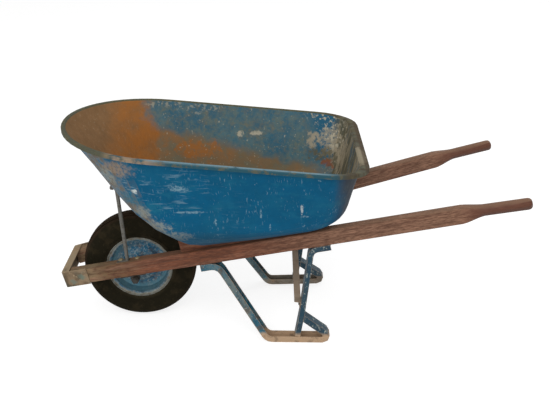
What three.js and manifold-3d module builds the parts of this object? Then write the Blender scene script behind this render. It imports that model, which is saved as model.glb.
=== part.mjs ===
// A contractor's wheelbarrow: a deep pressed steel tray on two wooden handles,
// one pneumatic wheel in front and two channel steel legs behind.
// Millimetres, +Z up. +X runs from the wheel to the grips, +Y to the operator's right hand.
// Below, x is measured from the wheel axle and z from the ground. The last lines move the
// origin to the middle of the barrow's footprint.

import * as THREE from 'three';
import { mergeVertices } from 'three/addons/utils/BufferGeometryUtils.js';
import Module from 'manifold-3d';

const wasm = await Module();
wasm.setup();

// Clearances
const seatGap = 0.3; // between two pieces that rest on each other
const curveRoom = 1.8; // more under a bolt head in the tray's curved front
const holeGap = 0.4; // around a shank, on its radius
const slotGap = 1.2; // around the axle in its brackets, on its radius

// Wheel
const tyreRadius = 195.3;
const tyreHalfWidth = 47.5;
const tyreWall = 6.5;
const beadSeatRadius = 101.6;
const rimFlangeRadius = 114.1;
const rimFlangeReach = 41; // from the middle of the wheel to the flange's lip
const rimSheet = 2.2;
const rimDishRadius = 66; // middle of the pressed step in the disc
const hubReach = 22; // where the discs meet the hub tube
const hubHalfLength = 56;
const hubWall = 3;
const bearingRadius = 17;
const bearingWidth = 12;
const axleRadius = 8;
const axleNutRadius = 13;
const axleNutHeight = 9;
const axleEnd = 3; // bare axle past its nuts
const rimBeadStep = 5; // the bead's seat lies this far inside the flange's lip
const innerTubeRadius = 36;
const innerTubeWall = 2.5;
const valveRadius = 4;
const valveLength = 24;
const valveReach = 20; // from the middle of the wheel
const valveAngle = 0.2; // above the horizontal, radians

// Handles
const handleWidth = 38;
const handleHeight = 52.5;
const handleEdge = 3; // rounding of the long edges
const handleFront = -242.5; // front end, x
const handleSpread = 144; // outwards over handleRun
const handleRise = 272; // upwards over handleRun
const handleRun = 1171.8;
const handleSideAtAxle = 111.5;
const handleHeightAtAxle = 237.4;
const shoulderStart = 1090; // along the handle from the axle
const shoulderLength = 68;
const gripEnd = 1305;
const gripDiameter = 39;
const gripLift = 3; // rise of the grip's neck over the handle's centre line
const gripTip = 9; // length of the rounded tip

// Tray rim: a half circle in front, straight sides and rounded rear corners
const rimHeightAtAxle = 702.3;
const rimSlope = -0.093;
const rimFrontCentre = 97;
const rimFrontRadius = 314;
const rimHalfWidth = 315;
const rimRear = 766;
const rimCornerLength = 134;
const rimCornerWidth = 112;
const lipFront = 14; // width of the rolled lip
const lipSide = 15;
const lipRear = 27.3;
const lipDrop = 12; // depth of its turned down edge
const traySheet = 2;

// Tray floor: the sharp outline where floor and walls would meet without their rounding
const floorHeightAtAxle = 300.4;
const floorSlope = 0.1735;
const floorFrontCentre = 154.7;
const floorFrontLength = 60.5;
const floorFrontHalfWidth = 236.9;
const floorRearHalfWidth = 239.2;
const floorRear = 690;
const floorCornerLength = 93.7;
const floorCornerWidth = 83.7;
const floorFullness = 0.75; // 1 rounds the front to an ellipse, less makes it squarer

// Its flat part, inside the rounding
const flatFrontCentre = 358.2;
const flatFrontLength = 40.7;
const flatFrontHalfWidth = 151.3;
const flatRearHalfWidth = 165.3;
const flatRear = 617.4;
const flatCornerLength = 78.7;
const flatCornerWidth = 67.9;

// How far the rounding reaches up the walls
const roundFront = 247.5;
const roundSide = 68.7;
const roundRear = 85.6;

// Wedges between handles and tray
const wedgeFront = 173; // along the handle
const wedgeLength = 424;
const wedgeWidth = 22;
const wedgeStock = 45;

// Legs and posts, pressed from channel
const channelWidth = 38;
const channelWall = 3;
const legDepth = 21;
const legFront = 227; // front end of the upper flange, x
const legKnee = 279; // bend under the handle, x
const legToe = 439; // where the sloping run would meet the ground, x
const legHeel = 704; // where the return run would meet the ground, x
const heelRise = 0.743; // slope of the return run
const kneeBend = 26;
const toeBend = 40;
const heelBend = 24.5;
const footSide = 183; // sideways place of the foot's middle at the axle
const footSpread = 0.031;
const postDepth = 18;
const postFoot = 537.5;
const postMiddle = 552.9; // where it bends a little
const postMiddleHeight = 112;
const postTop = 582;
const postBend = 34;
const postEnd = 650;

// Cross brace, an angle iron between the posts
const braceLeg = 22;
const braceWall = 3;
const braceReach = 15; // past the middle of each post
const braceHeight = 150;

// Axle brackets
const bracketPlate = 3;
const bracketFront = -58; // along the handle
const bracketRear = 32;
const bracketWidth = 34;
const lugThickness = 10;
const lugInset = 4; // from the handle's centre line to the lug's inner face
const bracketBoltFront = -46;
const bracketBoltRear = 13;
const bracketBoltSide = -6; // inwards from the handle's centre line

// Tray struts
const strutRadius = 6.5;
const strutFoot = -26; // x of the round stem's foot
const strutLean = -13; // x from its foot to its head
const strutRise = 233; // and z
const strutTab = 3;
const strutTabWidth = 18;
const strutTabLength = 42;

// Nose guard
const noseSheet = 3;
const noseCheek = 82;
const noseBelow = 28;
const noseFlange = 27;
const noseBend = 3; // radius of its inner corners
const noseScrewPlace = 42; // behind the front ends of the handles

// Bolts, nuts and screws
const boltRadius = 4;
const boltHeadRadius = 9;
const boltHeadHeight = 4;
const nutRadius = 7.5;
const nutHeight = 6.5;
const boltEnd = 3; // bare thread past a nut
const screwLength = 32;
const trayBoltSide = -8; // inwards from the handle's centre line
const trayBoltFront = 252; // along the handle
const trayBoltRear = 641;

// Fineness of round shapes
const wheelSteps = 32;
const ringSteps = 20;
const boltSteps = 8;
const bendSteps = 3;
const roundSteps = 6;

// Colours
const paint = (name, color, roughness, metalness) =>
  new THREE.MeshStandardMaterial({ name, color, roughness, metalness });
const trayPaint = paint('blue paint', 0x1b567a, 0.5, 0.1);
const legPaint = paint('dark blue paint', 0x234a5c, 0.55, 0.15);
const wood = paint('weathered ash', 0x73503a, 0.75, 0);
const bareSteel = paint('worn bare steel', 0x8a735a, 0.6, 0.6);
const greySteel = paint('grey steel', 0x6e7073, 0.5, 0.8);
const rubber = paint('old rubber', 0x1f1d16, 0.9, 0);

// Solids and meshes

function toSolid(geometry) {
  const bare = geometry.index ? geometry.toNonIndexed() : geometry.clone();
  bare.deleteAttribute('normal');
  bare.deleteAttribute('uv');
  const merged = mergeVertices(bare, 1e-3);
  const corners = merged.getAttribute('position').array;
  const index = Array.from(merged.index.array);
  const triangles = [];
  let volume = 0;
  for (let i = 0; i < index.length; i += 3) {
    const [a, b, c] = index.slice(i, i + 3);
    if (a === b || b === c || c === a) continue;
    triangles.push(a, b, c);
    const p = new THREE.Vector3().fromArray(corners, 3 * a);
    const q = new THREE.Vector3().fromArray(corners, 3 * b);
    const r = new THREE.Vector3().fromArray(corners, 3 * c);
    volume += p.dot(q.cross(r));
  }
  if (volume < 0) triangles.reverse();
  const vertProperties = new Float32Array(corners);
  const triVerts = new Uint32Array(triangles);
  return new wasm.Manifold(new wasm.Mesh({ numProp: 3, vertProperties, triVerts }));
}

function toGeometry(solid) {
  const { vertProperties, triVerts } = solid.getMesh();
  const geometry = new THREE.BufferGeometry();
  geometry.setAttribute('position', new THREE.BufferAttribute(vertProperties, 3));
  geometry.setIndex(new THREE.BufferAttribute(triVerts, 1));
  const faceted = geometry.toNonIndexed();
  faceted.computeVertexNormals();
  return faceted;
}

function addPiece(name, solid, material, parent, position = [0, 0, 0], rotation = [0, 0, 0]) {
  const mesh = new THREE.Mesh(toGeometry(solid), material);
  mesh.name = name;
  mesh.position.set(...position);
  mesh.rotation.set(...rotation);
  parent.add(mesh);
  mesh.updateWorldMatrix(true, false);
  return mesh;
}

function addFrame(parent, position, rotation = [0, 0, 0]) {
  const frame = new THREE.Group();
  frame.rotation.order = 'ZYX';
  frame.position.set(...position);
  frame.rotation.set(...rotation);
  parent.add(frame);
  frame.updateWorldMatrix(true, false);
  return frame;
}

// A solid of one frame, as it lies in another.
function carry(solid, from, to) {
  const move = to.matrixWorld.clone().invert().multiply(from.matrixWorld);
  return solid.transform(Array.from(move.elements));
}

function boxSolid(x0, x1, y0, y1, z0, z1) {
  const box = new THREE.BoxGeometry(x1 - x0, y1 - y0, z1 - z0);
  box.translate((x0 + x1) / 2, (y0 + y1) / 2, (z0 + z1) / 2);
  return toSolid(box);
}

// A profile of [radius, height] points turned about Z. It ends on the axis or closes on itself.
function turned(profile, steps) {
  const points = profile.map(([r, z]) => new THREE.Vector2(r, z));
  const lathe = new THREE.LatheGeometry(points, steps);
  lathe.rotateX(Math.PI / 2);
  return toSolid(lathe);
}

function rod(radius, z0, z1, steps = boltSteps) {
  return turned([[0, z0], [radius, z0], [radius, z1], [0, z1]], steps);
}

function ring(inner, outer, z0, z1, steps) {
  return turned([[inner, z0], [outer, z0], [outer, z1], [inner, z1], [inner, z0]], steps);
}

// Corners [x, y, radius] joined by straight runs, each corner rounded by an arc.
function roundedPath(corners, steps = bendSteps) {
  const path = [];
  corners.forEach(([x, y, radius = 0], i) => {
    const corner = new THREE.Vector2(x, y);
    if (!radius || i === 0 || i === corners.length - 1) {
      path.push(corner);
      return;
    }
    const before = new THREE.Vector2(corners[i - 1][0], corners[i - 1][1]).sub(corner).normalize();
    const after = new THREE.Vector2(corners[i + 1][0], corners[i + 1][1]).sub(corner).normalize();
    const half = Math.acos(before.dot(after)) / 2;
    const centre = before.clone().add(after).normalize().multiplyScalar(radius / Math.sin(half)).add(corner);
    const start = before.clone().multiplyScalar(radius / Math.tan(half)).add(corner).sub(centre);
    const end = after.clone().multiplyScalar(radius / Math.tan(half)).add(corner).sub(centre);
    const turn = Math.atan2(start.cross(end), start.dot(end));
    for (let k = 0; k <= steps; k++) {
      path.push(start.clone().rotateAround(new THREE.Vector2(), (turn * k) / steps).add(centre));
    }
  });
  return path;
}

// The same path moved sideways, to the left of its direction for a positive distance.
function offsetPath(path, distance) {
  return path.map((point, i) => {
    const before = path[Math.max(i - 1, 0)];
    const after = path[Math.min(i + 1, path.length - 1)];
    const into = point.clone().sub(before).normalize();
    const out = after.clone().sub(point).normalize();
    if (i === 0) into.copy(out);
    if (i === path.length - 1) out.copy(into);
    const mean = into.clone().add(out).normalize();
    const stretch = distance / Math.max(mean.dot(into), 0.3);
    return new THREE.Vector2(-mean.y, mean.x).multiplyScalar(stretch).add(point);
  });
}

function bandShape(path, from, to) {
  return new THREE.Shape([...offsetPath(path, from), ...offsetPath(path, to).reverse()]);
}

// A shape drawn in X and Z, made y0 to y1 wide.
function sideways(shape, y0, y1) {
  const block = new THREE.ExtrudeGeometry(shape, { depth: y1 - y0, bevelEnabled: false });
  block.rotateX(Math.PI / 2);
  block.translate(0, y1, 0);
  return toSolid(block);
}

// A shape drawn in X and Y, made z0 to z1 high.
function upwards(shape, z0, z1) {
  const block = new THREE.ExtrudeGeometry(shape, { depth: z1 - z0, bevelEnabled: false });
  block.translate(0, 0, z0);
  return toSolid(block);
}

// A skin over closed rings of equally many points. Each end closes on the middle of its ring.
function lofted(rings) {
  const count = rings[0].length;
  const last = rings.length - 1;
  const points = rings.flat();
  const index = [];
  for (let i = 0; i < last; i++) {
    for (let k = 0; k < count; k++) {
      const a = i * count + k;
      const b = i * count + ((k + 1) % count);
      index.push(a, b, a + count, b, b + count, a + count);
    }
  }
  [0, last].forEach((i) => {
    const middle = new THREE.Vector3();
    rings[i].forEach((point) => middle.addScaledVector(point, 1 / count));
    points.push(middle);
    for (let k = 0; k < count; k++) {
      const edge = [i * count + k, i * count + ((k + 1) % count)];
      if (i === 0) edge.reverse();
      index.push(...edge, points.length - 1);
    }
  });
  const geometry = new THREE.BufferGeometry().setFromPoints(points);
  geometry.setIndex(index);
  return toSolid(geometry);
}

// A carriage bolt along Z: its head rests on z = 0 and its shank hangs below.
function boltSolid(length) {
  return turned([
    [0, -length], [boltRadius, -length], [boltRadius, 0], [boltHeadRadius, 0],
    [boltHeadRadius * 0.78, boltHeadHeight * 0.7], [0, boltHeadHeight],
  ], boltSteps);
}

function nutSolid(radius, bore, z0, z1) {
  const corners = [];
  for (let k = 0; k < 6; k++) {
    corners.push(new THREE.Vector2(radius, 0).rotateAround(new THREE.Vector2(), (k * Math.PI) / 3));
  }
  const hexagon = new THREE.Shape(corners);
  const hole = new THREE.Path();
  hole.absarc(0, 0, bore, 0, 2 * Math.PI);
  hexagon.holes.push(hole);
  const nut = new THREE.ExtrudeGeometry(hexagon, {
    depth: z1 - z0, bevelEnabled: false, curveSegments: boltSteps,
  });
  nut.translate(0, 0, z0);
  return toSolid(nut);
}

// Where things lie on the handles

const barrow = new THREE.Group();
const sides = [['left', -1], ['right', 1]];
const handlePitch = Math.atan2(handleRise, Math.hypot(handleRun, handleSpread));
const handleYaw = Math.atan2(handleSpread, handleRun);

const handleSide = (x) => handleSideAtAxle + (handleSpread / handleRun) * x;
const handleCentre = (x) => handleHeightAtAxle + (handleRise / handleRun) * x;
const handleUnder = (x) => handleCentre(x) - handleHeight / 2 / Math.cos(handlePitch);

const handleFrames = {};
sides.forEach(([word, side]) => {
  const place = [0, side * handleSideAtAxle, handleHeightAtAxle];
  handleFrames[word] = addFrame(barrow, place, [0, -handlePitch, side * handleYaw]);
});

// A point or direction of the barrow, in a frame.
const toFrame = (frame, x, y, z) => frame.worldToLocal(new THREE.Vector3(x, y, z));
const handleTop = handleHeight / 2;

// Tray

// One half of an outline from its front tip to the middle of its rear edge.
function halfOutline(front, frontLength, frontWidth, rearWidth, rear, cornerLength, cornerWidth, fullness) {
  const points = [];
  const frontSteps = 14;
  const sideSteps = 4;
  const cornerSteps = 7;
  const rearSteps = 2;
  for (let i = 0; i <= frontSteps; i++) {
    const t = (Math.PI / 2) * (i / frontSteps);
    const along = Math.max(Math.cos(t), 0) ** fullness;
    points.push([front - frontLength * along, frontWidth * Math.sin(t) ** fullness]);
  }
  for (let i = 1; i <= sideSteps; i++) {
    const k = i / sideSteps;
    const x = front + (rear - cornerLength - front) * k;
    points.push([x, frontWidth + (rearWidth - frontWidth) * k]);
  }
  for (let i = 1; i <= cornerSteps; i++) {
    const t = (Math.PI / 2) * (i / cornerSteps);
    const x = rear - cornerLength + cornerLength * Math.sin(t);
    points.push([x, rearWidth - cornerWidth + cornerWidth * Math.cos(t)]);
  }
  for (let i = 1; i <= rearSteps; i++) {
    points.push([rear, (rearWidth - cornerWidth) * (1 - i / rearSteps)]);
  }
  return points;
}

function fullOutline(half) {
  const mirrored = half.slice(1, -1).reverse().map(([x, y]) => [x, -y]);
  return [...half, ...mirrored];
}

const rimZ = (x) => rimHeightAtAxle + rimSlope * x;
const floorZ = (x) => floorHeightAtAxle + floorSlope * x;

const lipOutline = fullOutline(halfOutline(
  rimFrontCentre, rimFrontRadius, rimHalfWidth, rimHalfWidth, rimRear, rimCornerLength, rimCornerWidth, 1,
));
const wallTopOutline = fullOutline(halfOutline(
  rimFrontCentre, rimFrontRadius - lipFront, rimHalfWidth - lipSide, rimHalfWidth - lipSide,
  rimRear - lipRear, rimCornerLength - lipSide, rimCornerWidth - lipSide, 1,
));
const floorOutline = fullOutline(halfOutline(
  floorFrontCentre, floorFrontLength, floorFrontHalfWidth, floorRearHalfWidth,
  floorRear, floorCornerLength, floorCornerWidth, floorFullness,
));
const flatOutline = fullOutline(halfOutline(
  flatFrontCentre, flatFrontLength, flatFrontHalfWidth, flatRearHalfWidth,
  flatRear, flatCornerLength, flatCornerWidth, floorFullness,
));

// Points of the outer face, from the flat floor round the bend and up to the lip.
const traySections = floorOutline.map(([bx, by], i) => {
  const [fx, fy] = flatOutline[i];
  const [tx, ty] = wallTopOutline[i];
  const corner = new THREE.Vector3(bx, by, floorZ(bx));
  const top = new THREE.Vector3(tx, ty, rimZ(tx));
  const out = new THREE.Vector2(tx - bx, ty - by).normalize();
  const roundEnd = out.x < 0 ? roundFront : roundRear;
  const onWall = THREE.MathUtils.lerp(roundEnd, roundSide, out.y * out.y);
  const start = new THREE.Vector3(fx, fy, floorZ(fx));
  const end = top.clone().sub(corner).normalize().multiplyScalar(onWall).add(corner);
  const points = new THREE.QuadraticBezierCurve3(start, corner, end).getPoints(roundSteps);
  points.push(end.clone().lerp(top, 0.5), top);
  return points;
});

const sectionRings = (sections) => sections[0].map((_, j) => sections.map((section) => section[j]));

// All that the tray's outer face encloses.
const trayHull = lofted(sectionRings(traySections));

function traySolid() {
  const outer = traySections;
  const count = outer.length;
  const levels = outer[0].length;
  // The sheet's inner face: each point moved in along the face's own normal.
  const inner = outer.map((section, i) => section.map((point, j) => {
    const along = outer[(i + 1) % count][j].clone().sub(outer[(i + count - 1) % count][j]);
    const up = section[Math.min(j + 1, levels - 1)].clone().sub(section[Math.max(j - 1, 0)]);
    const normal = up.cross(along).normalize();
    if (j === 0) normal.set(-floorSlope, 0, 1).normalize().negate();
    return point.clone().addScaledVector(normal, -traySheet);
  }));
  const rings = sectionRings(outer);
  const innerRings = sectionRings(inner);
  // The lip: out from the wall, over the rolled edge and back to the wall's inner face.
  const lipPoint = (share, drop) => lipOutline.map(([x, y], i) => {
    const [wx, wy] = wallTopOutline[i];
    const px = wx + (x - wx) * share;
    return new THREE.Vector3(px, wy + (y - wy) * share, rimZ(px) - drop);
  });
  const edge = (inset, drop) => lipOutline.map(([x, y], i) => {
    const [wx, wy] = wallTopOutline[i];
    const out = new THREE.Vector2(x - wx, y - wy).normalize();
    const px = x - out.x * inset;
    return new THREE.Vector3(px, y - out.y * inset, rimZ(px) - drop);
  });
  rings.pop();
  innerRings.pop();
  const lip = [
    lipPoint(0, 7), lipPoint(0.2, traySheet + 0.5), edge(traySheet, traySheet + 1), edge(traySheet, lipDrop),
    edge(0, lipDrop), edge(0, 3), edge(2.2, 0), lipPoint(0.12, 0), lipPoint(-0.12, 4),
  ];
  return lofted([...rings, ...lip, ...innerRings.reverse()]);
}

const trayBlank = traySolid();
const bothFaces = new THREE.MeshBasicMaterial({ side: THREE.DoubleSide });
const trayProbe = new THREE.Mesh(toGeometry(trayBlank), bothFaces);

// The first point where a line meets the tray, and the face's normal turned against the line.
function meetTray(from, direction) {
  const hit = new THREE.Raycaster(from, direction).intersectObject(trayProbe)[0];
  const normal = hit.face.normal.clone();
  if (normal.dot(direction) > 0) normal.negate();
  return { point: hit.point, normal };
}

// The highest point of the tray's inner face under a bolt head, as a height over a handle's frame.
function trayTopUnder(frame, along, across) {
  const down = new THREE.Vector3(0, 0, -1).transformDirection(frame.matrixWorld);
  const heights = [];
  for (let k = 0; k < boltSteps; k++) {
    const angle = (2 * Math.PI * k) / boltSteps;
    const x = along + boltHeadRadius * Math.cos(angle);
    const y = across + boltHeadRadius * Math.sin(angle);
    const start = frame.localToWorld(new THREE.Vector3(x, y, handleTop * 8));
    heights.push(frame.worldToLocal(meetTray(start, down).point).z);
  }
  return Math.max(...heights);
}

// Handles

// A ring of 12 points: a rectangle with rounded corners, centred on [0, lift] across the handle.
function handleRing(along, width, height, radius, lift) {
  const points = [];
  const corners = [[1, 1, 0], [-1, 1, 90], [-1, -1, 180], [1, -1, 270]];
  corners.forEach(([sy, sz, start]) => {
    for (let k = 0; k < 3; k++) {
      const angle = THREE.MathUtils.degToRad(start + 45 * k);
      const y = sy * (width / 2 - radius) + radius * Math.cos(angle);
      const z = sz * (height / 2 - radius) + radius * Math.sin(angle) + lift;
      points.push(new THREE.Vector3(along, y, z));
    }
  });
  return points;
}

const handleStart = handleFront / Math.cos(handlePitch) / Math.cos(handleYaw);

function handleSolid() {
  const gripCorner = gripDiameter * 0.48;
  const blend = (k) => THREE.MathUtils.smoothstep(k, 0, 1);
  const rings = [handleRing(handleStart, handleWidth, handleHeight, handleEdge, 0)];
  for (let i = 0; i <= 5; i++) {
    const k = i / 5;
    rings.push(handleRing(
      shoulderStart + shoulderLength * k,
      THREE.MathUtils.lerp(handleWidth, gripDiameter, blend(k)),
      THREE.MathUtils.lerp(handleHeight, gripDiameter, blend(k)),
      THREE.MathUtils.lerp(handleEdge, gripCorner, k),
      gripLift * blend(k),
    ));
  }
  const tip = [[gripTip, 1], [gripTip * 0.35, 0.86], [0, 0.55]];
  tip.forEach(([back, share]) => {
    rings.push(handleRing(gripEnd - back, gripDiameter * share, gripDiameter * share, gripCorner * share, 0));
  });
  return lofted(rings);
}

// Bolts through the handles, each along the normal of the handle's top face

// Adds a bolt and its nut in a handle's frame and gives the hole that they need.
function addHandleBolt(name, frame, along, across, headSeat, nutSeat) {
  const length = headSeat - nutSeat + nutHeight + boltEnd + seatGap;
  addPiece(name, boltSolid(length), greySteel, frame, [along, across, headSeat]);
  const nut = nutSolid(nutRadius, boltRadius + holeGap, 0, nutHeight);
  const nutPlace = [along, across, nutSeat - seatGap - nutHeight];
  addPiece(name.replace('bolt', 'nut'), nut, greySteel, frame, nutPlace);
  const hole = rod(boltRadius + holeGap, nutSeat - nutHeight, headSeat + boltHeadHeight);
  return hole.translate([along, across, 0]);
}

// Legs: channels bent along a path in X and Z, leaning outwards from handle to foot

// Sideways place of a leg's middle: over the foot's line at the ground, under the handle at the top.
function legSide(x, z) {
  const foot = footSide + footSpread * x;
  return THREE.MathUtils.lerp(foot, handleSide(x), z / handleUnder(x));
}

const handleCrossSlope = Math.tan(handlePitch) * Math.sin(handleYaw);

function leaned(solid, side) {
  const right = solid.warp((vert) => {
    const [x, y, z] = vert;
    vert[1] = legSide(x, z) + y;
    vert[2] = z + (y * handleCrossSlope * z) / handleUnder(x);
  });
  return side > 0 ? right : right.mirror([0, 1, 0]);
}

// A channel along a path: its web on the path and its flanges to the left of it.
function channelSolid(path, depth) {
  const half = channelWidth / 2;
  const web = sideways(bandShape(path, 0, channelWall), -half, half);
  const flange = bandShape(path, 0, depth);
  const near = sideways(flange, -half, -half + channelWall);
  const far = sideways(flange, half - channelWall, half);
  return web.add(near).add(far);
}

const flangeWebZ = (x) => handleUnder(x) - seatGap - legDepth / Math.cos(handlePitch);
const returnTop = postMiddle;

const legPath = roundedPath([
  [legFront, flangeWebZ(legFront)],
  [legKnee, flangeWebZ(legKnee), kneeBend],
  [legToe, 0, toeBend],
  [legHeel, 0, heelBend],
  [returnTop, (legHeel - returnTop) * heelRise],
]);

// The post's lower end is square to its lean, so its rear edge hangs lower.
const footLean = Math.atan2(postMiddle - postFoot, postMiddleHeight - legDepth);
const postFootHeight = legDepth + seatGap + postDepth * Math.sin(footLean);
const postPath = roundedPath([
  [postEnd, handleUnder(postEnd) - seatGap],
  [postTop, handleUnder(postTop) - seatGap, postBend],
  [postMiddle, postMiddleHeight, postBend * 4],
  [postFoot, postFootHeight],
]);

// Room for the post, cut from the end of the leg's return run.
const postBand = bandShape(postPath, -postDepth * 2, postDepth + seatGap);
const postRoom = sideways(postBand, -channelWidth, channelWidth);

// Brace frame: its origin on the posts' front faces, its Z up along them
const postLean = Math.atan2(postTop - postMiddle, handleUnder(postTop) - seatGap - postMiddleHeight);
const braceDrop = braceWall + boltHeadRadius + seatGap; // from the brace's top to its bolts
const braceFace = postMiddle + (braceHeight - postMiddleHeight) * Math.tan(postLean);
const braceFrame = addFrame(barrow, [braceFace, 0, braceHeight], [0, postLean, 0]);
const braceBoltSide = legSide(braceFace, braceHeight - braceDrop);

const bracePath = roundedPath([
  [-seatGap - braceLeg, 0],
  [-seatGap, 0],
  [-seatGap, -braceLeg],
]);

// A hole or bolt in the brace's frame points along X: forwards is -X.
const acrossBrace = (solid, y) => solid.rotate([0, -90, 0]).translate([0, y, -braceDrop]);

// Axle brackets

const axleHeight = tyreRadius;
// The lugs and the spacers take the room that is left between the axle and the handles' underside.
const axleToHandle = (handleHeightAtAxle - axleHeight) * Math.cos(handlePitch) - handleTop;
const lugRadius = axleToHandle - seatGap;
const plateDrop = bracketWidth / 2 * handleCrossSlope; // at the plate's lower long edge
const spacerRadius = axleToHandle - bracketPlate - plateDrop - 2 * seatGap;

function bracketSolid(frame, side) {
  const axle = toFrame(frame, 0, side * handleSideAtAxle, axleHeight);
  const top = -handleTop - seatGap;
  const half = bracketWidth / 2;
  const plate = boxSolid(bracketFront, bracketRear, -half, half, top - bracketPlate, top);
  const boss = rod(lugRadius, 0, lugThickness, ringSteps).rotate([90, 0, 0])
    .translate([axle.x, lugThickness, axle.z]);
  const neck = boxSolid(axle.x - lugRadius, axle.x + lugRadius, 0, lugThickness,
    axle.z, top - bracketPlate / 2);
  const lug = boss.add(neck).translate([0, lugInset, 0]);
  const placed = side > 0 ? lug : lug.mirror([0, 1, 0]);
  return plate.add(placed);
}

// The axle's length follows from the outer faces of the lugs, which stand at the handles' angle.
const lugSkew = (lugRadius + axleNutRadius) * Math.sin(handleYaw);
const lugInner = handleSideAtAxle + (lugInset - lugSkew) / Math.cos(handleYaw);
const lugOuter = handleSideAtAxle + (lugInset + lugThickness + lugSkew) / Math.cos(handleYaw);
const axleHalfLength = lugOuter + seatGap + axleNutHeight + axleEnd;

// Wheel: its pieces lie in a frame on the axle with Z across the barrow

const wheelFrame = addFrame(barrow, [0, 0, axleHeight], [Math.PI / 2, 0, 0]);
const hubBore = bearingRadius + seatGap;
const hubRadius = hubBore + hubWall;

function tyreProfile() {
  const seat = beadSeatRadius + rimSheet / 2 + seatGap;
  const bead = rimFlangeReach - rimBeadStep - rimSheet / 2 - seatGap;
  const w = tyreHalfWidth;
  const r = tyreRadius;
  const wall = tyreWall;
  const outerHalf = [
    [seat, bead - 3], [seat + 3, bead], [rimFlangeRadius + 1.5, bead], [rimFlangeRadius + 4, w - 7],
    [rimFlangeRadius + 14, w - 1.5], [r - 45, w], [r - 28, w - 2],
    [r - 14, w - 9], [r - 5, w - 20], [r - 1, w - 34],
  ];
  const innerHalf = [
    [seat, bead - 10], [seat + 6, bead - 9], [rimFlangeRadius + 9, w - wall - 2],
    [r - 40, w - wall], [r - 22, w - 13], [r - wall - 3, w - 30],
  ];
  const mirrored = (half) => half.map(([radius, y]) => [radius, -y]).reverse();
  return [
    ...outerHalf, [r, 0], ...mirrored(outerHalf), ...mirrored([...innerHalf].reverse()),
    [r - wall, 0], ...innerHalf.reverse(), outerHalf[0],
  ];
}

function rimSolid() {
  const bead = rimFlangeReach - rimBeadStep;
  const meeting = rimSheet / 2 + seatGap / 2;
  const path = roundedPath([
    [rimFlangeRadius, rimFlangeReach],
    [rimFlangeRadius - 2.5, bead + 0.5],
    [beadSeatRadius, bead, 3],
    [beadSeatRadius - 4, meeting + 2],
    [beadSeatRadius - 9, meeting],
    [rimDishRadius + 4, meeting, 3],
    [rimDishRadius - 4, meeting + 8, 3],
    [hubRadius + 14, hubReach, 4],
    [hubRadius + seatGap, hubReach],
  ], 1);
  const left = offsetPath(path, rimSheet / 2);
  const right = offsetPath(path, -rimSheet / 2).reverse();
  const loop = [...left, ...right, left[0]].map((p) => [p.x, p.y]);
  return turned(loop, wheelSteps);
}

// The valve stem points to the axle, on the operator's left side of the wheel.
const tubeCentre = (beadSeatRadius + tyreRadius) / 2 - 2;
const valveStart = tubeCentre - Math.sqrt(innerTubeRadius ** 2 - (valveReach - valveRadius) ** 2) - seatGap;
const valvePlace = (solid) => solid.rotate([0, -90, 0]).translate([0, 0, valveReach])
  .rotate([0, 0, THREE.MathUtils.radToDeg(valveAngle)]);

function innerTubeSolid() {
  const torus = (radius) => toSolid(new THREE.TorusGeometry(tubeCentre, radius, 9, ringSteps));
  const stemBore = valvePlace(rod(valveRadius / 2, valveStart, tubeCentre));
  return torus(innerTubeRadius).subtract(torus(innerTubeRadius - innerTubeWall)).subtract(stemBore);
}

function addWheel() {
  const stem = valvePlace(rod(valveRadius, valveStart - valveLength, valveStart));
  const stemHole = valvePlace(rod(valveRadius + holeGap, valveStart - valveLength, tubeCentre));
  addPiece('tyre', turned(tyreProfile(), wheelSteps), rubber, wheelFrame);
  addPiece('inner_tube', innerTubeSolid(), rubber, wheelFrame);
  addPiece('valve_stem', stem, rubber, wheelFrame);
  addPiece('rim_half_left', rimSolid().subtract(stemHole), trayPaint, wheelFrame);
  addPiece('rim_half_right', rimSolid(), trayPaint, wheelFrame, [0, 0, 0], [Math.PI, 0, 0]);
  const hub = ring(hubBore, hubRadius, -hubHalfLength, hubHalfLength, ringSteps);
  addPiece('hub_tube', hub, greySteel, wheelFrame);
  sides.forEach(([word, side]) => {
    const bearing = ring(axleRadius + seatGap, bearingRadius, 0, bearingWidth, ringSteps);
    const start = side < 0 ? hubHalfLength - bearingWidth : -hubHalfLength;
    addPiece(`bearing_${word}`, bearing, greySteel, wheelFrame, [0, 0, start]);
  });
}

function addAxle() {
  addPiece('axle', rod(axleRadius, -axleHalfLength, axleHalfLength, ringSteps), greySteel, wheelFrame);
  const spacerLength = lugInner - hubHalfLength - 2 * seatGap;
  sides.forEach(([word, side]) => {
    const inner = axleRadius + holeGap;
    const spacer = ring(inner, spacerRadius, 0, spacerLength, ringSteps);
    const nut = nutSolid(axleNutRadius, axleRadius + holeGap, 0, axleNutHeight);
    const spacerStart = side < 0 ? hubHalfLength + seatGap : -hubHalfLength - seatGap - spacerLength;
    const nutStart = side < 0 ? lugOuter + seatGap : -lugOuter - seatGap - axleNutHeight;
    addPiece(`axle_spacer_${word}`, spacer, greySteel, wheelFrame, [0, 0, spacerStart]);
    addPiece(`axle_nut_${word}`, nut, greySteel, wheelFrame, [0, 0, nutStart]);
  });
}

// Nose guard: a sheet bent round the front ends of the handles

const noseRise = Math.atan2(handleRise, handleRun);
const noseFrame = addFrame(barrow, [handleFront, 0, handleCentre(handleFront)], [0, -noseRise, 0]);
const noseFlare = handleSpread / Math.hypot(handleRun, handleRise);
// The handles' square corners need room inside the guard's rounded ones.
const noseFront = -handleWidth / 2 * noseFlare - seatGap - noseBend / 2;
// The handles' faces lean a little in this frame, so the guard stands off by that much more.
const noseSideGap = handleTop * Math.sin(handleYaw) * Math.sin(noseRise) + seatGap;
const noseStart = handleSide(handleFront) + handleWidth / 2 / Math.cos(Math.atan(noseFlare)) + noseSideGap;
const noseInner = (along) => noseStart + along * noseFlare;
const noseTop = handleTop + handleWidth / 2 * handleCrossSlope + seatGap;

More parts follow.
